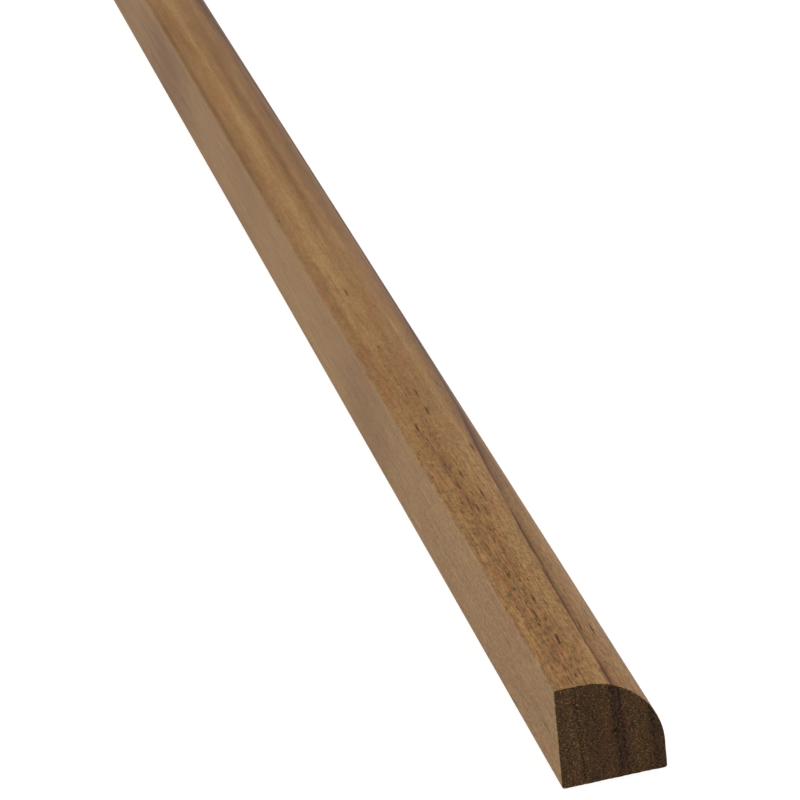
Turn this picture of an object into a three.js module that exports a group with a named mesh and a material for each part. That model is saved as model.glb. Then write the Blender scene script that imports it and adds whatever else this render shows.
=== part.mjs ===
// Quarter-round moulding: one straight length of solid wood trim, milled to a constant section.
// Millimetres. +X runs along the grain, +Y points at the flat back, +Z is up. The origin is the
// middle of the flat base.
import * as THREE from "three";

// Driving dimensions
const LENGTH = 1524;
const HEIGHT = 19;
const WIDTH_TO_HEIGHT = 0.97;
const RADIUS_TO_HEIGHT = 0.73;
const WIDTH = HEIGHT * WIDTH_TO_HEIGHT;
const FACE_RADIUS = HEIGHT * RADIUS_TO_HEIGHT;
const BASE_EASE = 0.45;
const TOP_EASE = 0.2;
const CURVE_SEGMENTS = 10;

// The planed and sanded face of oiled teak
const teak = new THREE.MeshStandardMaterial({
  name: "teak",
  color: 0x8f7150,
  roughness: 0.62,
  metalness: 0,
});

// Turns an outline's sharp corner at (y, z) into a small curve between two points beside it.
function easeCorner(outline, before, corner, after) {
  outline.lineTo(before.y, before.z);
  outline.quadraticCurveTo(corner.y, corner.z, after.y, after.z);
}

// The section across the grain, drawn as (y, z): a full-width base, a full-height back, a narrow
// flat top and a front that is round above and upright below.
function sectionOutline() {
  const front = -WIDTH / 2;
  const back = WIDTH / 2;
  const outline = new THREE.Shape();
  outline.moveTo(front + BASE_EASE, 0);
  easeCorner(
    outline,
    { y: back - BASE_EASE, z: 0 },
    { y: back, z: 0 },
    { y: back, z: BASE_EASE },
  );
  easeCorner(
    outline,
    { y: back, z: HEIGHT - TOP_EASE },
    { y: back, z: HEIGHT },
    { y: back - TOP_EASE, z: HEIGHT },
  );
  outline.lineTo(front + FACE_RADIUS, HEIGHT);
  outline.absarc(
    front + FACE_RADIUS,
    HEIGHT - FACE_RADIUS,
    FACE_RADIUS,
    Math.PI / 2,
    Math.PI,
    false,
  );
  easeCorner(
    outline,
    { y: front, z: BASE_EASE },
    { y: front, z: 0 },
    { y: front + BASE_EASE, z: 0 },
  );
  return outline;
}

// The whole moulding is one piece of wood: the section run along the grain, sawn square at both ends.
function quarterRoundStrip() {
  const geometry = new THREE.ExtrudeGeometry(sectionOutline(), {
    depth: LENGTH,
    steps: 1,
    curveSegments: CURVE_SEGMENTS,
    bevelEnabled: false,
  });
  const strip = new THREE.Mesh(geometry, teak);
  strip.name = "quarter_round_strip";
  // Lays the extrusion down: the outline's y and z become the row's Y and Z, and its depth runs along X.
  strip.rotation.set(Math.PI / 2, 0, Math.PI / 2, "ZXY");
  strip.position.set(-LENGTH / 2, 0, 0);
  return strip;
}

const moulding = new THREE.Group();
moulding.name = "quarter_round_moulding";
moulding.add(quarterRoundStrip());

export default moulding;
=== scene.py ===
"""A length of teak quarter-round moulding, lying on a plain pale floor.

The moulding is one piece of wood: a section with a flat base, a flat back, a narrow flat top and a
round front edge, run along the grain and sawn square at both ends. Everything given to Blender is
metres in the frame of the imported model. Lengths named ``_mm`` and the sizes and places of the wood's
patterns are millimetres, counted along from the near end, across from the back face and up from the
base.
"""

import logging
import math
from dataclasses import dataclass, field
from enum import Enum

import bpy
import numpy as np
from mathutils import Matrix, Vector


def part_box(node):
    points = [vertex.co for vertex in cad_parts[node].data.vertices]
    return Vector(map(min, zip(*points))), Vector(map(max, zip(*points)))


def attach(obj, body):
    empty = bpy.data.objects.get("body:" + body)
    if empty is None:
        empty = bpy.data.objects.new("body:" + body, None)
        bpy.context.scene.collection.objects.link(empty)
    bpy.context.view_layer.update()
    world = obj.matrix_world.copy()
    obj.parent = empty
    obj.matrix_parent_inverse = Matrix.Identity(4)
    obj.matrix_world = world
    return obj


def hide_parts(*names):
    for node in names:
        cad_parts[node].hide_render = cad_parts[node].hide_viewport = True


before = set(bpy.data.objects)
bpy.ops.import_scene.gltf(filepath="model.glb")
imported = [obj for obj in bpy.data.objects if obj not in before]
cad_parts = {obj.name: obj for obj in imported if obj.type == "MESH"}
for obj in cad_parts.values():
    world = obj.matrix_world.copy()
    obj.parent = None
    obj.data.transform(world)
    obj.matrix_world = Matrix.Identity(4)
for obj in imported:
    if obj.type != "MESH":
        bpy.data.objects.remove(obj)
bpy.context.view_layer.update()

Pair = tuple[float, float]
Triple = tuple[float, float, float]
Colour = tuple[float, float, float, float]
Stops = tuple[Pair, ...]
Face = tuple[int, ...]
Socket = bpy.types.NodeSocket
Number = Socket | float
Paint = Socket | Colour

LOG = logging.getLogger("moulding")
MM = 0.001
NODE = "quarter_round_strip"
PIECE = "quarter_round_moulding"
BODY = "root"
WHITE: Colour = (1.0, 1.0, 1.0, 1.0)


def srgb(red: int, green: int, blue: int) -> Colour:
    """Turn a display colour, each part 0 to 255, into the linear colour that a shader takes."""
    # The display curve's straight foot is left out: no colour here is that near black.
    linear = [((c / 255 + 0.055) / 1.055) ** 2.4 for c in (red, green, blue)]
    return (linear[0], linear[1], linear[2], 1.0)


def smooth_step(values: np.ndarray, low: float, high: float) -> np.ndarray:
    """Ease values from nought at low to one at high."""
    share = np.clip((values - low) / (high - low), 0.0, 1.0)
    return share * share * (3.0 - 2.0 * share)


class Zone(Enum):
    """The two kinds of surface on a sawn and planed stick, by material slot."""

    LONG_GRAIN = 0
    END_GRAIN = 1


@dataclass(frozen=True)
class Section:
    """The moulding's section across the grain, in metres.

    Attributes:
        width: From the back to the front.
        height: From the base to the top.
        radius: The round edge's radius, drawn in round_steps straight bits.
        base_ease: The radius of the two eased corners at the base.
        top_ease: The radius of the crisp arris at the back of the top.
    """

    width: float
    height: float
    radius: float
    base_ease: float = 0.45 * MM
    top_ease: float = 0.2 * MM
    base_steps: int = 5
    top_steps: int = 4
    round_steps: int = 52

    @staticmethod
    def corner(centre: Pair, radius: float, start: float, steps: int) -> np.ndarray:
        """Trace a quarter circle in rows of (y, z), anticlockwise from a start in degrees from +Y."""
        turn = np.radians(np.linspace(start, start + 90.0, steps + 1))
        return np.column_stack([centre[0] + radius * np.cos(turn), centre[1] + radius * np.sin(turn)])

    @staticmethod
    def between(first: np.ndarray, last: np.ndarray, pitch: float) -> np.ndarray:
        """Fill a flat with points no further apart than the pitch, leaving out its two ends."""
        count = max(2, math.ceil(np.linalg.norm(last - first) / pitch))
        return first + (last - first) * np.linspace(0.0, 1.0, count + 1)[1:-1, None]

    def outline(self, pitch: float = 0.6 * MM) -> np.ndarray:
        """Trace the whole outline: base, back, top, round face and front.

        Args:
            pitch: The most that two points on a flat may be apart.

        Returns:
            A closed loop's points as rows of (y, z), anticlockwise as seen from the far end.
        """
        back, front, top = self.width / 2, -self.width / 2, self.height
        ease, crisp, bend = self.base_ease, self.top_ease, self.radius
        corners = [
            self.corner((back - ease, ease), ease, -90.0, self.base_steps),
            self.corner((back - crisp, top - crisp), crisp, 0.0, self.top_steps),
            self.corner((front + bend, top - bend), bend, 90.0, self.round_steps),
            self.corner((front + ease, ease), ease, 180.0, self.base_steps),
        ]
        loop = []
        for here, following in zip(corners, corners[1:] + corners[:1]):
            loop += [here, self.between(here[-1], following[0], pitch)]
        return np.vstack(loop)

    @staticmethod
    def normals(outline: np.ndarray) -> np.ndarray:
        """Find which way is out at each point of the outline.

        Args:
            outline: The loop's points, as rows of (y, z).

        Returns:
            A unit vector a point, as rows of (y, z).
        """
        along = np.roll(outline, -1, axis=0) - np.roll(outline, 1, axis=0)
        out = np.column_stack([along[:, 1], -along[:, 0]])
        return out / np.linalg.norm(out, axis=1, keepdims=True)


@dataclass(frozen=True)
class Grain:
    """How the growth rings lie in the stick, in millimetres.

    A ring's depth is measured from the back face at the top of the section. The rings stand almost
    upright in it and lean towards the front at the bottom, and they spread along the length as the
    tree's taper runs out through the round face.

    Attributes:
        lean: How far a ring leans for each millimetre of height.
        fan_mm: The drift that spreads the rings to twice their spacing.
        most_wander: The largest drift the table could hold.
        wander: The drift at each place along the length.
        pore_rows_mm: The ring depths of the rows of large pores.
    """

    lean: float = 0.05
    fan_mm: float = 10.4
    most_wander: float = 10.0
    wander: Stops = (
        (0, 0.4), (25, 0.66), (50, 1.27), (75, 2.1), (100, 3.85), (125, 5.5), (150, 6.3), (200, 6.8),
        (300, 6.4), (350, 5.6), (410, 4.4), (500, 2.6), (640, 3.6), (800, 1.2), (980, 3.0), (1150, 5.2),
        (1330, 3.4), (1524, 1.6),
    )
    pore_rows_mm: tuple[float, ...] = (3.4, 10.9, 15.9)

    def depth(self, along: np.ndarray, across: np.ndarray, up: np.ndarray, height: float) -> np.ndarray:
        """Find how deep in the rings a point is.

        Args:
            along: Millimetres from the near end.
            across: Millimetres from the back face.
            up: Millimetres above the base.
            height: The section's height in millimetres.

        Returns:
            The ring depth of each point, in millimetres.
        """
        stations, drift = zip(*self.wander)
        spread = 1.0 + np.interp(along, stations, drift) / self.fan_mm
        return (across + self.lean * (up - height)) / spread


@dataclass(frozen=True)
class Pattern:
    """Soft random patches in the wood, longer one way than another.

    Attributes:
        size: The size of a patch along, across and up.
        detail: How many finer layers it has.
        roughness: How strong the finer layers are.
        strength: How much it adds to what it is laid over.
    """

    size: Triple
    detail: float = 2.0
    roughness: float = 0.5
    strength: float = 1.0


@dataclass(frozen=True)
class Shake:
    """Small moves that make a pattern uneven: how far apart they change, and how far they go."""

    size: Triple
    sway: Triple


@dataclass(frozen=True)
class Vessels:
    """Cut vessels of one kind, which show as short dark dashes on the long faces.

    Attributes:
        size: The room that each one has, along, across and up.
        share: How many of them are open, where the wood is at its most open.
        edge: How far out a dash fades to nothing, in shares of its room.
        core: How far out it stays at its darkest.
    """

    size: Triple
    share: float
    edge: float
    core: float = 0.07


@dataclass(frozen=True)
class FigureOrShade:
    """A soft lighter or darker patch, given one by one: its middle, its reach and its tone. Most are
    wood figure, and those low on the round face are painted shade.
    """

    along: float
    across: float
    up: float
    reach: Triple
    tone: float


@dataclass(frozen=True)
class Place:
    """Where a point lies in the wood: as a vector, its distance along and its ring depth."""

    point: Socket
    along: Socket
    depth: Socket


class NodeBench:
    """Lays out one material's nodes, a value at a time."""

    ROW = 9
    SPACING = 190

    def __init__(self, name: str) -> None:
        """Start a material with a Principled surface.

        Args:
            name: The material's name.
        """
        self.material = bpy.data.materials.new(name)
        self.material.use_nodes = True
        self.tree = self.material.node_tree
        self.shader = next(n for n in self.tree.nodes if n.type == "BSDF_PRINCIPLED")
        self.made = 0

    def add(self, kind: str, label: str = "") -> bpy.types.Node:
        """Add a node, set out in rows so that the tree can be read.

        Args:
            kind: Blender's name for the node type.
            label: What the node is for.

        Returns:
            The node.
        """
        node = self.tree.nodes.new(kind)
        node.label = label
        row, column = divmod(self.made, self.ROW)
        node.location = (self.SPACING * (column - self.ROW), self.SPACING * (4 - row))
        self.made += 1
        return node

    def feed(self, socket: Socket, value: Number | Paint | Triple) -> None:
        """Link a socket to another node's output, or set its own value.

        Args:
            socket: The input.
            value: An output socket, a number, three numbers or a colour.
        """
        if isinstance(value, Socket):
            self.tree.links.new(value, socket)
        else:
            socket.default_value = value

    def dial(self, name: str, value: float | Colour) -> None:
        """Set one of the surface's own values, the same all over."""
        self.shader.inputs[name].default_value = value

    def math(self, operation: str, *values: Number, clamp: bool = False) -> Socket:
        """Work out one step of arithmetic.

        Args:
            operation: Blender's name for the operation.
            *values: Its operands.
            clamp: Whether the result stays from nought to one.

        Returns:
            The result.
        """
        node = self.add("ShaderNodeMath")
        node.operation = operation
        node.use_clamp = clamp
        for socket, value in zip(node.inputs, values):
            self.feed(socket, value)
        return node.outputs[0]

    def vector_math(self, operation: str, *values: Socket | Triple) -> bpy.types.Node:
        """Work out one step of arithmetic on vectors.

        Args:
            operation: Blender's name for the operation.
            *values: Its operands, as sockets or as three numbers each.

        Returns:
            The node.
        """
        node = self.add("ShaderNodeVectorMath")
        node.operation = operation
        for socket, value in zip(node.inputs, values):
            self.feed(socket, value)
        return node

    def vector(self, x: Number, y: Number, z: Number) -> Socket:
        """Join three numbers into a vector.

        Args:
            x: The first.
            y: The second.
            z: The third.

        Returns:
            The vector.
        """
        node = self.add("ShaderNodeCombineXYZ")
        for socket, value in zip(node.inputs, (x, y, z)):
            self.feed(socket, value)
        return node.outputs[0]

    def stretched(self, point: Socket, size: Triple) -> Socket:
        """Count a place in pattern sizes, along, across and up."""
        return self.vector_math("DIVIDE", point, size).outputs[0]

    def noise_node(self, point: Socket, pattern: Pattern) -> bpy.types.Node:
        """Add a noise texture.

        Args:
            point: The place.
            pattern: The patches that it makes.

        Returns:
            The node, whose outputs are a strength and a colour.
        """
        node = self.add("ShaderNodeTexNoise")
        self.feed(node.inputs["Vector"], self.stretched(point, pattern.size))
        node.inputs["Scale"].default_value = 1.0
        node.inputs["Detail"].default_value = pattern.detail
        node.inputs["Roughness"].default_value = pattern.roughness
        return node

    def noise(self, point: Socket, pattern: Pattern) -> Socket:
        """Make soft random patches, whose strength is mostly from 0.25 to 0.75."""
        return self.noise_node(point, pattern).outputs[0]

    def cells(self, point: Socket, size: Triple) -> bpy.types.Node:
        """Scatter cell centres and measure the distance to the nearest.

        Args:
            point: The place.
            size: The size of a cell along, across and up.

        Returns:
            The Voronoi node, whose outputs are the distance and each cell's own colour.
        """
        node = self.add("ShaderNodeTexVoronoi")
        self.feed(node.inputs["Vector"], self.stretched(point, size))
        node.inputs["Scale"].default_value = 1.0
        return node

    def remap(
        self, value: Socket, low: float, high: float, first: float = 0.0, last: float = 1.0
    ) -> Socket:
        """Ease a value from one range to another.

        Args:
            value: The value.
            low: Where the change starts.
            high: Where it ends.
            first: The result at low and before.
            last: The result at high and after.

        Returns:
            The eased value.
        """
        node = self.add("ShaderNodeMapRange")
        node.interpolation_type = "SMOOTHSTEP"
        for socket, number in zip(node.inputs, (value, low, high, first, last)):
            self.feed(socket, number)
        return node.outputs[0]

    def curve(self, value: Socket, span: float, rise: float, points: Stops) -> Socket:
        """Follow a smooth curve through given points.

        Args:
            value: Where on the curve.
            span: The largest value the curve is set for.
            rise: The largest result it could give.
            points: The curve's points, as (value, result).

        Returns:
            The curve's result.
        """
        node = self.add("ShaderNodeFloatCurve")
        line = node.mapping.curves[0]
        while len(line.points) < len(points):
            line.points.new(0.5, 0.5)
        for handle, (at, result) in zip(line.points, points):
            handle.location = (at / span, result / rise)
        node.mapping.update()
        self.feed(node.inputs["Value"], self.math("DIVIDE", value, span))
        return self.math("MULTIPLY", node.outputs[0], rise)

    def ramp(self, value: Socket, stops: Stops) -> Socket:
        """Read a grey level off a ruled scale.

        Args:
            value: Where on the scale.
            stops: The scale's marks, as (place, grey level from nought to one), lowest place first.

        Returns:
            The grey level.
        """
        node = self.add("ShaderNodeValToRGB")
        ramp = node.color_ramp
        ramp.interpolation = "EASE"
        low, high = stops[0][0], stops[-1][0]
        for _ in stops[2:]:
            ramp.elements.new(0.5)
        for element, (at, level) in zip(ramp.elements, stops):
            element.position = (at - low) / (high - low)
            element.color = (level, level, level, 1.0)
        share = self.math("DIVIDE", self.math("SUBTRACT", value, low), high - low, clamp=True)
        self.feed(node.inputs[0], share)
        return node.outputs[0]

    def blend(self, share: Number, first: Paint, second: Paint) -> Socket:
        """Mix two colours.

        Args:
            share: How much of the second.
            first: The colour underneath.
            second: The colour on top.

        Returns:
            The mixed colour.
        """
        node = self.add("ShaderNodeMix")
        node.data_type = "RGBA"
        node.clamp_factor = True
        self.feed(node.inputs[0], share)
        self.feed(node.inputs[6], first)
        self.feed(node.inputs[7], second)
        return node.outputs[2]

    def tinted(self, share: Socket, strength: float, first: Paint, second: Paint) -> Socket:
        """Mix in a second colour, as much of it as the share times the strength."""
        return self.blend(self.math("MULTIPLY", share, strength), first, second)

    def layered(self, start: Number, *layers: tuple[Socket, Pattern]) -> Socket:
        """Add random patches to a value, each by its own strength and each about its middle.

        Args:
            start: The value to start from.
            *layers: The patches, each with its pattern.

        Returns:
            The sum.
        """
        total = start
        for patches, pattern in layers:
            centred = self.math("SUBTRACT", patches, 0.5)
            total = self.math("MULTIPLY_ADD", centred, pattern.strength, total)
        return total

    def weighted(self, start: float, *terms: tuple[Socket, float]) -> Socket:
        """Add values up, each times its own weight.

        Args:
            start: The number to start from.
            *terms: The values and their weights.

        Returns:
            The sum.
        """
        total = start
        for value, weight in terms:
            total = self.math("MULTIPLY_ADD", value, weight, total)
        return total

    def scaled(self, colour: Socket, factor: Socket) -> Socket:
        """Make a colour lighter or darker.

        Args:
            colour: The colour.
            factor: How much lighter, one for no change.

        Returns:
            The changed colour.
        """
        node = self.vector_math("SCALE", colour)
        self.feed(node.inputs["Scale"], factor)
        return node.outputs[0]

    def shaken(self, point: Socket, shake: Shake) -> Socket:
        """Move a place about a little, so that a regular pattern turns uneven.

        Args:
            point: The place.
            shake: How far it moves.

        Returns:
            The moved place.
        """
        wander = self.noise_node(point, Pattern(shake.size))
        centred = self.vector_math("SUBTRACT", wander.outputs["Color"], (0.5, 0.5, 0.5))
        return self.vector_math("MULTIPLY_ADD", centred.outputs[0], shake.sway, point).outputs[0]

    def mark(self, name: str) -> Socket:
        """Read one of the mesh's own marks.

        Args:
            name: The mark's name.

        Returns:
            Its strength.
        """
        node = self.add("ShaderNodeAttribute", name)
        node.attribute_name = name
        return node.outputs["Fac"]

    def raise_grain(self, relief: Socket, depth: float, strength: float) -> None:
        """Give the surface its fine relief.

        Args:
            relief: The height pattern, from about nought to one.
            depth: How deep one step of the pattern is, in metres.
            strength: How much of it shows.
        """
        bump = self.add("ShaderNodeBump")
        bump.inputs["Strength"].default_value = strength
        bump.inputs["Distance"].default_value = depth
        self.feed(bump.inputs["Height"], relief)
        self.feed(self.shader.inputs["Normal"], bump.outputs[0])


@dataclass(frozen=True)
class TeakFinish:
    """Planed and sanded teak, oiled: warm golden brown, with dark sawn end grain.

    The colours from heart to arris_highlight are the long faces', and those from end_wood on are the
    sawn ends'.

    Attributes:
        early_rings: How light the long faces are at each ring depth, about a middle of 0.5.
        dark_lines: How much of a dark line there is at each ring depth.
        end_rings: How light the sawn ends are at each ring depth.
        pore_rows: How open the wood is at each ring depth.
        open_lengths: How open it is at each place along the length.
        polish: How strongly the fine fibre shows at each place along the length.
        most_polish: The strongest that this table could hold.
        blush: Where the long faces turn redder.
        breaks: Where the dark lines fade.
        ragged: How uneven the rings are on the sawn ends.
        end_blush: Where the sawn ends turn redder.
        fraying: How the edges of the listed patches are moved about.
        patch_edge: How far out a listed patch fades to nothing, in shares of its reach.
        straying: How the vessels are moved about.
        patch_edge: How far out a figure fades to nothing, in shares of its reach.
        golden_tone: The tone at which the wood is at its lightest.
        umber_tone: The tone at which it is at its darkest.
        relief: How deep the long faces' fine relief is, in metres.
        end_relief: The same on the sawn ends.
    """

    section: Section
    length: float
    grain: Grain = field(default_factory=Grain)
    heart: Colour = srgb(140, 104, 63)
    outer: Colour = srgb(139, 107, 65)
    golden: Colour = srgb(167, 135, 87)
    umber: Colour = srgb(99, 66, 35)
    russet: Colour = srgb(134, 86, 55)
    line: Colour = srgb(80, 48, 22)
    pore: Colour = srgb(60, 34, 20)
    # The painted highlight on the crisp arris at the back of the top.
    arris_highlight: Colour = srgb(176, 148, 116)
    end_wood: Colour = srgb(64, 46, 25)
    end_dark: Colour = srgb(28, 17, 15)
    end_red: Colour = srgb(70, 43, 27)
    end_olive: Colour = srgb(122, 94, 58)
    early_rings: Stops = (
        (-6.0, 0.42), (-1.2, 0.43), (0.6, 0.47), (1.4, 0.50), (2.6, 0.42), (3.8, 0.43), (5.0, 0.46),
        (6.8, 0.54), (8.0, 0.60), (9.3, 0.57), (9.7, 0.43), (11.2, 0.47), (13.6, 0.54), (15.2, 0.46),
        (17.0, 0.40), (20.0, 0.48),
    )
    dark_lines: Stops = (
        (-6.0, 0.0), (9.25, 0.0), (9.5, 1.0), (9.7, 0.95), (10.0, 0.35), (11.0, 0.0), (15.2, 0.0),
        (15.5, 0.5), (16.4, 0.0), (20.0, 0.0),
    )
    end_rings: Stops = (
        (-6.0, 0.48), (0.4, 0.50), (1.6, 0.56), (3.2, 0.58), (4.4, 0.40), (6.2, 0.40), (7.4, 0.46),
        (8.6, 0.46), (9.2, 0.10), (10.1, 0.16), (10.9, 0.44), (12.6, 0.54), (14.2, 0.48), (14.8, 0.34),
        (15.6, 0.24), (20.0, 0.36),
    )
    pore_rows: Stops = (
        (-6.0, 0.04), (2.2, 0.05), (3.0, 1.0), (4.4, 0.8), (6.0, 0.1), (10.6, 0.04), (11.2, 0.2),
        (12.4, 0.04), (20.0, 0.05),
    )
    open_lengths: Stops = (
        (0, 1.0), (90, 0.9), (150, 0.12), (240, 0.04), (430, 0.04), (560, 0.9), (900, 0.3), (1250, 0.8),
        (1524, 0.6),
    )
    figures_and_shade: tuple[FigureOrShade, ...] = (
        # The back face, from the near end on.
        FigureOrShade(20, 0, 9, (34, 7, 8), -0.07),
        FigureOrShade(75, 0, 13, (34, 7, 8), -0.02),
        FigureOrShade(135, 0, 8, (28, 7, 18), -0.17),
        FigureOrShade(250, 0, 12, (18, 6, 12), -0.08),
        FigureOrShade(295, 0, 10, (20, 6, 14), 0.05),
        FigureOrShade(345, 0, 9, (34, 7, 18), -0.24),
        # The flat top and where the round edge leaves it.
        FigureOrShade(25, 4.4, 19, (50, 2.2, 5), -0.08),
        FigureOrShade(120, 5.6, 19, (50, 1.6, 4), -0.03),
        FigureOrShade(175, 2.2, 19, (48, 1.0, 3), -0.13),
        FigureOrShade(186, 4.6, 19, (72, 2.8, 5), 0.26),
        FigureOrShade(285, 5.4, 19, (70, 3.2, 5), 0.27),
        FigureOrShade(380, 5.2, 19, (70, 3.0, 5), 0.26),
        FigureOrShade(262, 8.6, 18.4, (66, 1.2, 4), -0.17),
        FigureOrShade(335, 9.6, 18.2, (50, 1.4, 4), -0.12),
        FigureOrShade(285, 0.9, 19, (80, 1.2, 3), -0.20),
        # The round edge, lower down: painted shade, darker towards the front where less light reaches
        # the round face, over some darker wood.
        FigureOrShade(112, 14.2, 15.2, (56, 2.6, 4), -0.34),
        FigureOrShade(165, 16.0, 14.0, (50, 3.0, 5), -0.30),
        FigureOrShade(275, 13.6, 15.4, (120, 3.6, 4), -0.36),
        FigureOrShade(405, 15.0, 14.0, (80, 4.4, 7), -0.55),
        # All round.
        FigureOrShade(400, 9.0, 10.0, (170, 40, 40), -0.10),
        # The rest of the length.
        FigureOrShade(560, 0, 6, (60, 7, 9), 0.14),
        FigureOrShade(640, 6.0, 19, (90, 2.6, 5), 0.24),
        FigureOrShade(700, 0, 13, (80, 7, 6), -0.26),
        FigureOrShade(860, 0, 7, (50, 7, 9), 0.16),
        FigureOrShade(900, 9.0, 18, (110, 2.4, 5), -0.24),
        FigureOrShade(1010, 0, 10, (70, 7, 12), -0.30),
        FigureOrShade(1180, 0, 5, (60, 7, 8), 0.16),
        FigureOrShade(1240, 7.0, 19, (90, 3, 5), 0.22),
        FigureOrShade(1330, 0, 12, (80, 7, 8), -0.24),
    )
    polish: Stops = (
        (0, 1.55), (60, 1.4), (120, 0.9), (220, 0.55), (320, 0.4), (440, 0.45), (600, 1.0), (1524, 1.2),
    )
    most_polish: float = 2.0
    ring_waves: tuple[Pattern, ...] = (
        Pattern((120, 40, 40), strength=1.0),
        Pattern((28, 7, 7), strength=0.6),
        Pattern((6, 1, 1), strength=0.3),
    )
    cloud: Pattern = Pattern((110, 11, 11), 3, strength=0.22)
    streak: Pattern = Pattern((48, 1.2, 1.2), 4, 0.6, 0.42)
    blotch: Pattern = Pattern((7, 1.3, 1.3), 3, 0.6, 0.30)
    blush: Pattern = Pattern((16, 1.5, 1.5), 3, 0.6)
    fibre: Pattern = Pattern((6, 0.3, 0.3), 3, 0.65, 1.15)
    dash: Pattern = Pattern((1.5, 0.4, 0.4), 3, 0.7, 1.3)
    ripple: Pattern = Pattern((0.7, 1.5, 0.6), strength=0.5)
    breaks: Pattern = Pattern((13, 1.6, 1.6), 3)
    ragged: Pattern = Pattern((3, 0.9, 0.9), 3, 0.6, 2.4)
    mottle: Pattern = Pattern((3, 0.7, 1.7), 3, 0.65, 1.15)
    speckle: Pattern = Pattern((1, 0.36, 0.38), 2, 0.75, 4.0)
    rays: Pattern = Pattern((2, 2.6, 0.2), strength=0.5)
    end_blush: Pattern = Pattern((8, 1.8, 3))
    fraying: Shake = Shake((22, 2, 2), (50, 1.3, 1.3))
    rippling: Shake = Shake((4, 2, 2), (1.6, 0, 0))
    straying: Shake = Shake((9, 0.9, 0.9), (3, 0.3, 0.3))
    vessels: tuple[Vessels, ...] = (
        Vessels((7.5, 0.95, 0.95), 0.75, 0.42),
        Vessels((3, 0.45, 0.45), 0.7, 0.38),
    )
    patch_edge: float = 1.25
    ring_contrast: float = 0.95
    golden_tone: float = 0.4
    umber_tone: float = -0.46
    line_strength: float = 0.95
    pore_strength: float = 0.95
    # How strongly the arris's painted highlight shows.
    arris_highlight_strength: float = 0.16
    dullness: float = 0.52
    gloss: float = 0.12
    relief: float = 0.07 * MM
    end_contrast: float = 1.2
    end_pore_strength: float = 0.9
    end_red_strength: float = 0.4
    end_dullness: float = 0.72
    end_gloss: float = 0.1
    end_relief: float = 0.14 * MM

    def places(self, bench: NodeBench) -> Place:
        """Measure a point from the near end, the back face and the base.

        Args:
            bench: Where the nodes go.

        Returns:
            The point, with the depth of the growth ring it lies in.
        """
        source = bench.add("ShaderNodeTexCoord")
        parts = bench.add("ShaderNodeSeparateXYZ")
        bench.feed(parts.inputs[0], source.outputs["Object"])
        along = bench.math("MULTIPLY_ADD", parts.outputs[0], 1 / MM, self.length / 2 / MM)
        across = bench.math("MULTIPLY_ADD", parts.outputs[1], -1 / MM, self.section.width / 2 / MM)
        up = bench.math("MULTIPLY", parts.outputs[2], 1 / MM)
        point = bench.vector(along, across, up)
        return Place(point, along, self.ring_depth(bench, point, along, across, up))

    def ring_depth(
        self, bench: NodeBench, point: Socket, along: Socket, across: Socket, up: Socket
    ) -> Socket:
        """Find the ring depth of a point, with the small wanderings of real grain.

        Args:
            bench: Where the nodes go.
            point: The point.
            along: Its distance from the near end.
            across: Its distance from the back face.
            up: Its height above the base.

        Returns:
            The ring depth, in millimetres.
        """
        grain = self.grain
        lean = bench.math("MULTIPLY_ADD", up, grain.lean, -grain.lean * self.section.height / MM)
        drift = bench.curve(along, self.length / MM, grain.most_wander, grain.wander)
        spread = bench.math("MULTIPLY_ADD", drift, 1 / grain.fan_mm, 1.0)
        depth = bench.math("DIVIDE", bench.math("ADD", across, lean), spread)
        return bench.layered(depth, *((bench.noise(point, wave), wave) for wave in self.ring_waves))

    def figure_and_shade_tone(self, bench: NodeBench, point: Socket) -> Socket:
        """Add up the hand-placed lighter and darker patches.

        Args:
            bench: Where the nodes go.
            point: The place.

        Returns:
            How much lighter or darker the colour is there, about nought, painted shade included.
        """
        frayed = bench.shaken(point, self.fraying)
        patches = []
        for listed_patch in self.figures_and_shade:
            centre = (listed_patch.along, listed_patch.across, listed_patch.up)
            offset = bench.vector_math("SUBTRACT", frayed, centre).outputs[0]
            gap = bench.vector_math("LENGTH", bench.stretched(offset, listed_patch.reach)).outputs["Value"]
            share = bench.remap(gap, low=0.0, high=self.patch_edge, first=1.0, last=0.0)
            patches.append((share, listed_patch.tone))
        return bench.weighted(0.0, *patches)

    def wood_colour(self, bench: NodeBench, place: Place) -> Socket:
        """Colour the planed wood by its rings, clouds, streaks and listed patches, painted shade low on
        the round face among them.

        Args:
            bench: Where the nodes go.
            place: The place in the wood.

        Returns:
            The colour, before its fine fibre, dark lines and pores.
        """
        rings = bench.ramp(place.depth, self.early_rings)
        tone = bench.math("MULTIPLY", bench.math("SUBTRACT", rings, 0.5), self.ring_contrast)
        broad = (self.cloud, self.streak, self.blotch)
        tone = bench.layered(tone, *((bench.noise(place.point, layer), layer) for layer in broad))
        # The listed patches hold painted shade low on the round face as well as wood figure.
        tone = bench.math("ADD", tone, self.figure_and_shade_tone(bench, place.point))
        outward = bench.remap(place.depth, low=1.2, high=-0.2)
        colour = bench.blend(outward, self.heart, self.outer)
        lighter = bench.math("DIVIDE", tone, self.golden_tone, clamp=True)
        colour = bench.blend(lighter, colour, self.golden)
        darker = bench.math("DIVIDE", tone, self.umber_tone, clamp=True)
        colour = bench.blend(darker, colour, self.umber)
        redder = bench.remap(bench.noise(place.point, self.blush), low=0.46, high=0.68, last=0.5)
        return bench.blend(redder, colour, self.russet)

    def dark_line(self, bench: NodeBench, place: Place) -> Socket:
        """Draw the dark lines between growth rings, broken here and there.

        Args:
            bench: Where the nodes go.
            place: The place in the wood.

        Returns:
            How much of a dark line is there.
        """
        breaks = bench.noise(place.point, self.breaks)
        kept = bench.remap(breaks, low=0.32, high=0.55, first=0.5, last=1.0)
        return bench.math("MULTIPLY", bench.ramp(place.depth, self.dark_lines), kept)

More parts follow.
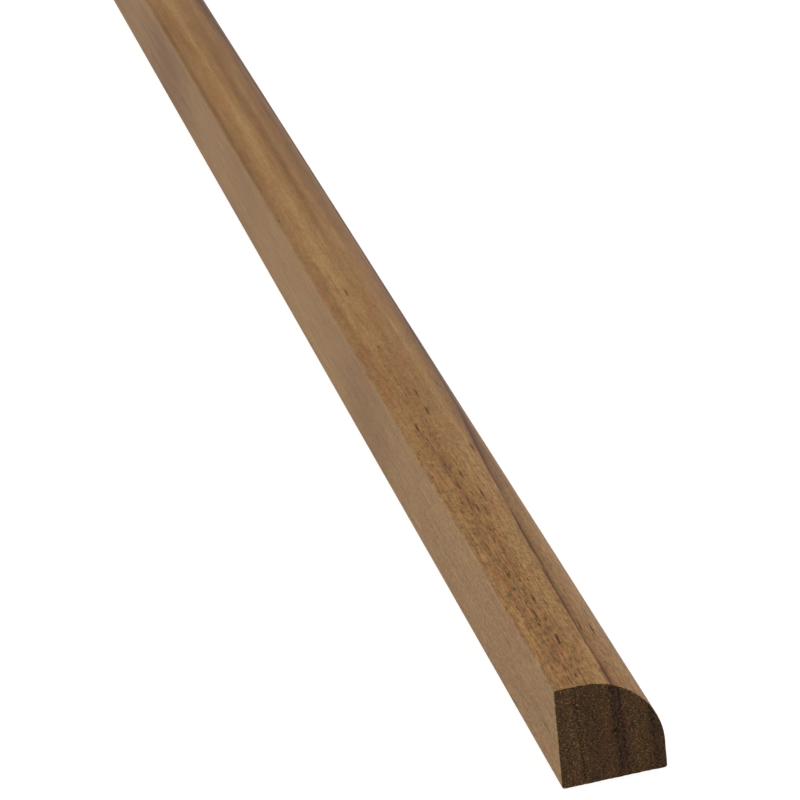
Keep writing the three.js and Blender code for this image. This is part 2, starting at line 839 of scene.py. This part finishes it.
    def open_pores(self, bench: NodeBench, place: Place) -> Socket:
        """Scatter the cut vessels that show as short dark dashes.

        Args:
            bench: Where the nodes go.
            place: The place in the wood.

        Returns:
            How much of an open pore is there.
        """
        rows = bench.ramp(place.depth, self.pore_rows)
        lengths = bench.curve(place.along, self.length / MM, 1.0, self.open_lengths)
        openness = bench.math("MULTIPLY", rows, lengths)
        strayed = bench.shaken(place.point, self.straying)
        total: Number = 0.0
        for kind in self.vessels:
            cells = bench.cells(strayed, kind.size)
            draw = bench.add("ShaderNodeSeparateColor")
            bench.feed(draw.inputs[0], cells.outputs["Color"])
            dash = bench.remap(cells.outputs["Distance"], kind.core, kind.edge, first=1.0, last=0.0)
            often = bench.math("MULTIPLY", openness, kind.share)
            chosen = bench.math("LESS_THAN", draw.outputs[0], often)
            darkness = bench.math("MULTIPLY_ADD", draw.outputs[1], 0.5, 0.6)
            pore = bench.math("MULTIPLY", bench.math("MULTIPLY", dash, chosen), darkness)
            total = bench.math("MAXIMUM", total, pore)
        return total

    def long_grain(self) -> bpy.types.Material:
        """Make the material of the planed faces.

        Returns:
            The material.
        """
        bench = NodeBench("teak_long_grain")
        place = self.places(bench)
        fibre = bench.noise(place.point, self.fibre)
        dash = bench.noise(place.point, self.dash)
        ripple = bench.noise(bench.shaken(place.point, self.rippling), self.ripple)
        line = self.dark_line(bench, place)
        pores = self.open_pores(bench, place)

        fine = bench.layered(0.0, (fibre, self.fibre), (dash, self.dash), (ripple, self.ripple))
        shown = bench.curve(place.along, self.length / MM, self.most_polish, self.polish)
        colour = self.wood_colour(bench, place)
        colour = bench.scaled(colour, bench.math("MULTIPLY_ADD", fine, shown, 1.0))
        colour = bench.tinted(line, self.line_strength, colour, self.line)
        colour = bench.tinted(pores, self.pore_strength, colour, self.pore)
        # Paint the crisp arris lighter: a painted highlight where the edge catches the light.
        colour = bench.tinted(bench.mark("painted_arris_highlight"), self.arris_highlight_strength, colour, self.arris_highlight)
        bench.feed(bench.shader.inputs["Base Color"], colour)

        rough = bench.weighted(self.dullness, (fibre, 0.2), (pores, 0.15))
        bench.feed(bench.shader.inputs["Roughness"], rough)
        bench.dial("Specular IOR Level", self.gloss)
        relief = bench.weighted(0.0, (ripple, 0.4), (fibre, 0.6), (line, -0.25), (pores, -1.0))
        bench.raise_grain(relief, self.relief, strength=0.6)
        return bench.material

    def end_grain(self) -> bpy.types.Material:
        """Make the material of the sawn ends.

        Returns:
            The material.
        """
        bench = NodeBench("teak_end_grain")
        place = self.places(bench)
        point = place.point
        mottle = bench.noise(point, self.mottle)
        speckle = bench.noise(point, self.speckle)
        rays = bench.noise(point, self.rays)
        depth = bench.layered(place.depth, (bench.noise(point, self.ragged), self.ragged))
        rings = bench.ramp(depth, self.end_rings)
        tone = bench.math("MULTIPLY", bench.math("SUBTRACT", rings, 0.5), self.end_contrast)
        tone = bench.layered(tone, (mottle, self.mottle), (speckle, self.speckle), (rays, self.rays))

        darker = bench.remap(tone, low=0.1, high=-0.75)
        colour = bench.blend(darker, self.end_wood, self.end_dark)
        redder = bench.remap(bench.noise(point, self.end_blush), low=0.46, high=0.62)
        colour = bench.tinted(redder, self.end_red_strength, colour, self.end_red)
        lighter = bench.remap(tone, low=0.15, high=1.0, last=0.85)
        colour = bench.blend(lighter, colour, self.end_olive)
        colour = bench.tinted(bench.mark("pore"), self.end_pore_strength, colour, self.end_dark)
        bench.feed(bench.shader.inputs["Base Color"], colour)

        rough = bench.weighted(self.end_dullness, (speckle, 0.2))
        bench.feed(bench.shader.inputs["Roughness"], rough)
        bench.dial("Specular IOR Level", self.end_gloss)
        relief = bench.weighted(0.0, (rays, 0.4), (speckle, 0.8))
        bench.raise_grain(relief, self.end_relief, strength=0.7)
        return bench.material


@dataclass
class MeshParts:
    """A mesh in the making: its points and their pore marks, its faces and their zones."""

    points: list[np.ndarray] = field(default_factory=list)
    pores: list[np.ndarray] = field(default_factory=list)
    faces: list[Face] = field(default_factory=list)
    zones: list[int] = field(default_factory=list)

    def add_points(self, points: np.ndarray, pores: np.ndarray) -> int:
        """Add points.

        Args:
            points: The points, as rows of (x, y, z).
            pores: How much of each is open pore.

        Returns:
            The first one's number.
        """
        first = sum(len(part) for part in self.points)
        self.points.append(points)
        self.pores.append(pores)
        return first

    def add_face(self, face: Face, zone: Zone, turned: bool = False) -> None:
        """Add a face, anticlockwise as seen from outside, or turned the other way round."""
        self.faces.append(face[::-1] if turned else face)
        self.zones.append(zone.value)

    def add_band(self, lower: int, upper: int, count: int, zone: Zone, turned: bool = False) -> None:
        """Join two loops of points by a band of faces.

        Args:
            lower: The first loop's first point.
            upper: The second loop's first point.
            count: How many points each loop has.
            zone: The kind of surface it is.
            turned: Whether to turn the faces over.
        """
        for column in range(count):
            after = (column + 1) % count
            self.add_face((lower + column, lower + after, upper + after, upper + column), zone, turned)

    def build(self, name: str) -> bpy.types.Mesh:
        """Make the mesh.

        Args:
            name: The mesh's name.

        Returns:
            The mesh, with its zones as material numbers.
        """
        mesh = bpy.data.meshes.new(name)
        mesh.from_pydata(np.vstack(self.points).tolist(), [], self.faces)
        mesh.polygons.foreach_set("material_index", np.array(self.zones, dtype=np.int32))
        return mesh


@dataclass
class SawnEnd:
    """One end of the moulding, sawn square: open pores, saw marks and a torn edge.

    Attributes:
        place: Where the end is along X, in metres.
        near: Whether it is the near end, with the wood towards +X of it.
        split: How many points the end's edge has for each one of the section.
        rings: How many steps there are from the edge to the middle.
        middle: The point the rings close on, in shares of the width and the height.
        pore_stray_mm: How far a large pore strays sideways and upright.
        large_pores_mm: The range of radii of the pores in rows.
        small_pores_mm: The range of radii of the others.
        pore_edge: How far out a pore's wall starts and ends, in shares of its radius.
        rim_fade: How far in from the edge, as a share of the way to the middle, the relief is full.
    """

    section: Section
    grain: Grain
    random: np.random.Generator
    place: float
    near: bool
    split: int = 3
    rings: int = 58
    middle: Pair = (-0.03, 0.47)
    pore_pitch_mm: float = 0.42
    lowest_pore_mm: float = 0.3
    pore_stray_mm: Pair = (0.16, 0.14)
    large_pores_mm: Pair = (0.13, 0.21)
    small_pores_mm: Pair = (0.06, 0.12)
    small_count: int = 260
    pore_edge: Pair = (0.55, 1.35)
    saw_centre_mm: Pair = (-40.0, 150.0)
    saw_pitch_mm: float = 1.1
    pore_sink: float = 0.13 * MM
    saw_sink: float = 0.018 * MM
    fuzz_sink: float = 0.02 * MM
    rim_fade: float = 0.02
    tear_shape: float = 1.6
    tear_mm: float = 0.035
    most_torn: float = 0.16 * MM

    def tear(self, loop: np.ndarray) -> None:
        """Break the sawn edge a little, as a saw does.

        Args:
            loop: The edge's points, as rows of (x, y, z), changed in place.
        """
        torn = self.random.gamma(self.tear_shape, self.tear_mm, len(loop)) * MM
        away = np.array([0.0, self.section.height * self.middle[1]]) - loop[:, 1:]
        away /= np.linalg.norm(away, axis=1, keepdims=True)
        loop[:, 1:] += away * np.minimum(torn, self.most_torn)[:, None]

    def pore_centres(self) -> np.ndarray:
        """Scatter the open pores: tight rows in the early wood, and small ones all over.

        Returns:
            The pores, as rows of (millimetres from the back, millimetres up, radius).
        """
        width, height = self.section.width / MM, self.section.height / MM
        even = np.arange(self.lowest_pore_mm, height, self.pore_pitch_mm)
        count = len(even)
        sideways, upright = self.pore_stray_mm
        pores = []
        for row in self.grain.pore_rows_mm:
            ups = even + self.random.uniform(-upright, upright, count)
            depths = row + self.random.normal(0.0, sideways, count)
            radii = self.random.uniform(*self.large_pores_mm, count)
            pores.append(np.column_stack([depths, ups, radii]))
        ranges = ((-2.0, width), (0.0, height), self.small_pores_mm)
        small = [self.random.uniform(low, high, self.small_count) for low, high in ranges]
        centres = np.vstack([*pores, np.column_stack(small)])
        centres[:, 0] += self.grain.lean * (height - centres[:, 1])
        return centres

    def relief(self, flat: np.ndarray) -> tuple[np.ndarray, np.ndarray]:
        """Work out the end's relief.

        Args:
            flat: The end's points, as rows of (y, z) in metres.

        Returns:
            How far each point is sunk in metres, and how much of it is open pore.
        """
        across = (self.section.width / 2 - flat[:, 0]) / MM
        up = flat[:, 1] / MM
        pores = np.zeros(len(flat))
        for centre_across, centre_up, radius in self.pore_centres():
            gap = np.hypot(across - centre_across, up - centre_up)
            closed = smooth_step(gap / radius, *self.pore_edge)
            pores = np.maximum(pores, 1.0 - closed)
        arc = np.hypot(across - self.saw_centre_mm[0], up - self.saw_centre_mm[1])
        kerf = 0.5 + 0.5 * np.sin(2.0 * math.pi * arc / self.saw_pitch_mm)
        fuzz = self.random.uniform(0.0, 1.0, len(flat))
        return self.pore_sink * pores + self.saw_sink * kerf + self.fuzz_sink * fuzz, pores

    def rim(self, loop: np.ndarray) -> np.ndarray:
        """Split each side of the edge, so that the end can be finer than the length.

        Args:
            loop: The edge's points, as rows of (x, y, z).

        Returns:
            The finer loop.
        """
        following = np.roll(loop, -1, axis=0)
        parts = [loop + (following - loop) * step / self.split for step in range(self.split)]
        return np.stack(parts, axis=1).reshape(-1, 3)

    def inner_points(self, rim: np.ndarray) -> tuple[np.ndarray, np.ndarray]:
        """Fill the end with rings of points that close on its middle.

        Args:
            rim: The end's edge, as rows of (x, y, z).

        Returns:
            The points inside the rim, ring by ring with the middle last, and their pore marks.
        """
        middle = np.array([self.section.width * self.middle[0], self.section.height * self.middle[1]])
        shares = np.linspace(1.0, 0.0, self.rings + 1)[1:-1]
        flat = np.vstack([*(middle + (rim[:, 1:] - middle) * share for share in shares), middle])
        sunk, pores = self.relief(flat)
        edge = np.repeat(smooth_step(1.0 - shares, 0.0, self.rim_fade), len(rim))
        sunk *= np.append(edge, 1.0)
        inward = 1.0 if self.near else -1.0
        return np.column_stack([self.place + inward * sunk, flat]), pores

    def close(self, parts: MeshParts, loop: np.ndarray, neighbour: int) -> None:
        """Join the end's edge to the length beside it, and fill the end inside it.

        Args:
            parts: The mesh that the end is added to.
            loop: The edge's points, as rows of (x, y, z).
            neighbour: The first point of the nearest station on the length.
        """
        rim = self.rim(loop)
        count, fine = len(loop), len(rim)
        start = parts.add_points(rim, np.zeros(fine))
        parts.add_points(*self.inner_points(rim))
        turned = not self.near
        for column in range(count):
            edge = [start + (column * self.split + step) % fine for step in range(self.split + 1)]
            after = (column + 1) % count
            parts.add_face((*edge, neighbour + after, neighbour + column), Zone.LONG_GRAIN, turned)
        last = start + (self.rings - 1) * fine
        for outer in range(start, last, fine):
            parts.add_band(outer + fine, outer, fine, Zone.END_GRAIN, turned)
        for column in range(fine):
            face = (last + (column + 1) % fine, last + column, last + fine)
            parts.add_face(face, Zone.END_GRAIN, turned)


@dataclass
class QuarterRoundStrip:
    """The moulding itself: its planed length between two sawn ends.

    Attributes:
        radius_share: The round edge's radius, as a share of the height.
        pitch: How far apart the section is drawn along the length, in metres.
        end_steps: How many closer steps there are beside each end, each longer by step_growth.
        sanding: The waves that sanding leaves, each with its length and its times round the section.
        row_reach_mm: How far a pore row's hollow spreads each way.
        foot_fade: The height above the base at which the unevenness is full.
        arris_highlight: Where the painted highlight on the arris is full, and where it has faded out.
    """

    low: Vector
    high: Vector
    radius_share: float = 0.73
    pitch: float = 8.5 * MM
    end_steps: int = 15
    first_step: float = 0.12 * MM
    step_growth: float = 1.32
    sanding: Stops = ((260 * MM, 1), (95 * MM, 2), (41 * MM, 3), (19 * MM, 5))
    sanding_depth: float = 0.006 * MM
    row_depth: float = 0.02 * MM
    row_reach_mm: float = 0.7
    foot_fade: float = 0.4 * MM
    arris_highlight: Pair = (0.12 * MM, 0.5 * MM)
    sharp_angle: float = 50.0
    seed: int = 19
    grain: Grain = field(default_factory=Grain)
    length: float = field(init=False)
    section: Section = field(init=False)
    random: np.random.Generator = field(init=False)

    def __post_init__(self) -> None:
        """Work out the section and the length from the box."""
        size = self.high - self.low
        self.length = size.x
        self.section = Section(size.y, size.z, size.z * self.radius_share)
        self.random = np.random.default_rng(self.seed)

    def stations(self) -> np.ndarray:
        """Choose where along the length the section is drawn, closer together towards the ends.

        Returns:
            The stations, in metres from the middle.
        """
        steps = self.first_step * self.step_growth ** np.arange(self.end_steps)
        start = np.concatenate([[0.0], np.cumsum(steps)])
        middle = np.linspace(start[-1], self.length - start[-1], round(self.length / self.pitch))
        return np.concatenate([start, middle[1:-1], self.length - start[::-1]]) - self.length / 2

    def unevenness(self, along: np.ndarray, outline_count: int) -> np.ndarray:
        """Make the faint waves that planing and sanding leave.

        Args:
            along: The stations, in metres.
            outline_count: How many points the outline has.

        Returns:
            How far each point is sanded in, in metres, as stations by points.
        """
        turn = np.linspace(0.0, 2.0 * math.pi, outline_count, endpoint=False)
        total = np.zeros((len(along), outline_count))
        for wave, times in self.sanding:
            phase, spin = self.random.uniform(0.0, 2.0 * math.pi, 2)
            ripple = np.sin(2.0 * math.pi * along / wave + phase)[:, None]
            total += (0.5 + 0.5 * ripple * np.sin(times * turn + spin)) * self.sanding_depth
        return total

    def planed_points(self, outline: np.ndarray) -> np.ndarray:
        """Run the section along the length.

        Args:
            outline: The section's points, as rows of (y, z).

        Returns:
            The points, as stations by outline points by (x, y, z).
        """
        along = self.stations()
        from_near = (along + self.length / 2)[:, None] / MM
        across = (self.section.width / 2 - outline[:, 0])[None] / MM
        up = outline[:, 1][None] / MM
        depth = self.grain.depth(from_near, across, up, self.section.height / MM)
        hollow = np.zeros_like(depth)
        for row in self.grain.pore_rows_mm:
            hollow += np.exp(-(((depth - row) / self.row_reach_mm) ** 2)) * self.row_depth
        sunk = self.unevenness(along, len(outline)) + hollow
        sunk *= smooth_step(outline[:, 1], 0.0, self.foot_fade)
        inward = -self.section.normals(outline)
        points = np.empty((len(along), len(outline), 3))
        points[:, :, 0] = along[:, None]
        points[:, :, 1] = outline[:, 0] + inward[:, 0] * sunk
        points[:, :, 2] = outline[:, 1] + inward[:, 1] * sunk
        return points

    def painted_arris_highlight(self, points: np.ndarray) -> np.ndarray:
        """Mark the painted highlight on each point: one on the crisp arris at the back of the top, and
        nought away from it.
        """
        gap = np.hypot(points[:, 1] - self.section.width / 2, points[:, 2] - self.section.height)
        return 1.0 - smooth_step(gap, *self.arris_highlight)

    @staticmethod
    def write_mark(mesh: bpy.types.Mesh, name: str, values: np.ndarray) -> None:
        """Keep a number for every point of the mesh, under a name."""
        mark = mesh.attributes.new(name, "FLOAT", "POINT")
        mark.data.foreach_set("value", values.astype(np.float32))

    def build(self) -> bpy.types.Object:
        """Make the mesh.

        Returns:
            The strip's object, with its marks, before its materials.
        """
        stations = self.planed_points(self.section.outline())
        edges, planed = (stations[0], stations[-1]), stations[1:-1]
        ends = [
            SawnEnd(self.section, self.grain, self.random, -self.length / 2, near=True),
            SawnEnd(self.section, self.grain, self.random, self.length / 2, near=False),
        ]
        for end, loop in zip(ends, edges):
            end.tear(loop)
        parts = MeshParts()
        rows, count = planed.shape[:2]
        parts.add_points(planed.reshape(-1, 3), np.zeros(rows * count))
        last = (rows - 1) * count
        for base in range(0, last, count):
            parts.add_band(base, base + count, count, Zone.LONG_GRAIN)
        for end, loop, neighbour in zip(ends, edges, (0, last)):
            end.close(parts, loop, neighbour)
        mesh = parts.build(PIECE)
        self.write_mark(mesh, "pore", np.concatenate(parts.pores))
        # Keep where the arris's painted highlight goes, as a mark on the mesh.
        self.write_mark(mesh, "painted_arris_highlight", self.painted_arris_highlight(np.vstack(parts.points)))
        mesh.shade_smooth()
        mesh.set_sharp_from_angle(angle=math.radians(self.sharp_angle))
        strip = bpy.data.objects.new(PIECE, mesh)
        bpy.context.scene.collection.objects.link(strip)
        return strip

    def dress(self, strip: bpy.types.Object) -> None:
        """Give the strip its two finishes, in the order of their zones.

        Args:
            strip: The strip's object.
        """
        finish = TeakFinish(self.section, self.length, self.grain)
        makers = {Zone.LONG_GRAIN: finish.long_grain, Zone.END_GRAIN: finish.end_grain}
        for zone in Zone:
            strip.data.materials.append(makers[zone]())


@dataclass(frozen=True)
class Floor:
    """A plain pale studio floor, giving off light of its own so that it looks white."""

    reach: float = 30.0
    drop: float = 0.02 * MM
    albedo: float = 0.3
    glow: float = 0.8

    def build(self, level: float) -> bpy.types.Object:
        """Lay the floor.

        Args:
            level: The height of what lies on it, in metres.

        Returns:
            The floor's object.
        """
        mesh = bpy.data.meshes.new("floor")
        side = self.reach
        corners = [(-side, -side, 0), (side, -side, 0), (side, side, 0), (-side, side, 0)]
        mesh.from_pydata(corners, [], [(0, 1, 2, 3)])
        floor = bpy.data.objects.new("floor", mesh)
        floor.location.z = level - self.drop
        bpy.context.scene.collection.objects.link(floor)
        bench = NodeBench("pale_floor")
        bench.dial("Base Color", (self.albedo, self.albedo, self.albedo, 1.0))
        bench.dial("Roughness", 0.9)
        bench.dial("Specular IOR Level", 0.0)
        bench.dial("Emission Color", WHITE)
        bench.dial("Emission Strength", self.glow)
        mesh.materials.append(bench.material)
        return floor


@dataclass(frozen=True)
class StudioLight:
    """Soft light from all round, with a little more from above.

    Attributes:
        sky: The surroundings' strength overhead.
        walls: Their strength where they meet the floor.
        walls_end: The height where the walls start to dim, as the up part of a unit direction.
        sky_start: The height from which the sky has its own strength.
        sun_spread: How wide the lamp looks, in degrees.
    """

    sky: float = 0.62
    walls: float = 1.02
    walls_end: float = 0.07
    sky_start: float = 0.2
    sun: float = 1.45
    sun_spread: float = 120.0
    sun_tilt: Pair = (-11.0, -14.0)

    def build(self) -> None:
        """Light the scene."""
        scene = bpy.context.scene
        world = bpy.data.worlds.new("studio")
        world.use_nodes = True
        background = next(n for n in world.node_tree.nodes if n.type == "BACKGROUND")
        background.inputs["Color"].default_value = WHITE
        self.raise_walls(world.node_tree, background)
        scene.world = world
        lamp = bpy.data.lights.new("overhead", "SUN")
        lamp.energy = self.sun
        lamp.angle = math.radians(self.sun_spread)
        overhead = bpy.data.objects.new("overhead", lamp)
        overhead.rotation_euler = [math.radians(angle) for angle in (*self.sun_tilt, 0.0)]
        scene.collection.objects.link(overhead)
        scene.view_settings.view_transform = "Standard"
        scene.view_settings.look = "None"

    def raise_walls(self, tree: bpy.types.NodeTree, background: bpy.types.Node) -> None:
        """Make the room's walls white where they meet the floor, and dimmer above.

        Args:
            tree: The world's nodes.
            background: The node that gives off the light.
        """
        towards = tree.nodes.new("ShaderNodeTexCoord")
        parts = tree.nodes.new("ShaderNodeSeparateXYZ")
        fade = tree.nodes.new("ShaderNodeMapRange")
        fade.interpolation_type = "SMOOTHSTEP"
        tree.links.new(towards.outputs["Generated"], parts.inputs[0])
        tree.links.new(parts.outputs[2], fade.inputs["Value"])
        fade.inputs["From Min"].default_value = self.walls_end
        fade.inputs["From Max"].default_value = self.sky_start
        fade.inputs["To Min"].default_value = self.walls
        fade.inputs["To Max"].default_value = self.sky
        tree.links.new(fade.outputs[0], background.inputs["Strength"])


@dataclass(frozen=True)
class Camera:
    """A long lens that looks down the stick from beyond its near end, turned in degrees."""

    lens_mm: float = 176.9
    sensor_mm: float = 36.0
    beyond_end: float = 548.9 * MM
    beside_back: float = 129.9 * MM
    above_base: float = 343.9 * MM
    turn: Triple = (64.361, 5.598, -103.969)
    clip: Pair = (0.05, 200.0)

    def build(self, near_back_base: Vector) -> bpy.types.Object:
        """Set up the camera.

        Args:
            near_back_base: The near end's corner between the back face and the base.

        Returns:
            The camera's object.
        """
        lens = bpy.data.cameras.new("camera")
        lens.lens = self.lens_mm
        lens.sensor_width = self.sensor_mm
        lens.clip_start, lens.clip_end = self.clip
        camera = bpy.data.objects.new("camera", lens)
        camera.location = near_back_base + Vector((-self.beyond_end, self.beside_back, self.above_base))
        camera.rotation_euler = [math.radians(angle) for angle in self.turn]
        bpy.context.scene.collection.objects.link(camera)
        bpy.context.scene.camera = camera
        return camera


def main() -> None:
    """Build the moulding, its floor, its light and its camera."""
    logging.basicConfig(level=logging.INFO, format="%(name)s: %(message)s")
    low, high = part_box(NODE)
    Camera().build(Vector((low.x, high.y, low.z)))
    strip = QuarterRoundStrip(low, high)
    piece = strip.build()
    strip.dress(piece)
    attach(piece, BODY)
    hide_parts(NODE)
    LOG.info("%s: %d faces, stands for %s", piece.name, len(piece.data.polygons), NODE)
    Floor().build(low.z)
    StudioLight().build()


if __name__ == "__main__":
    main()
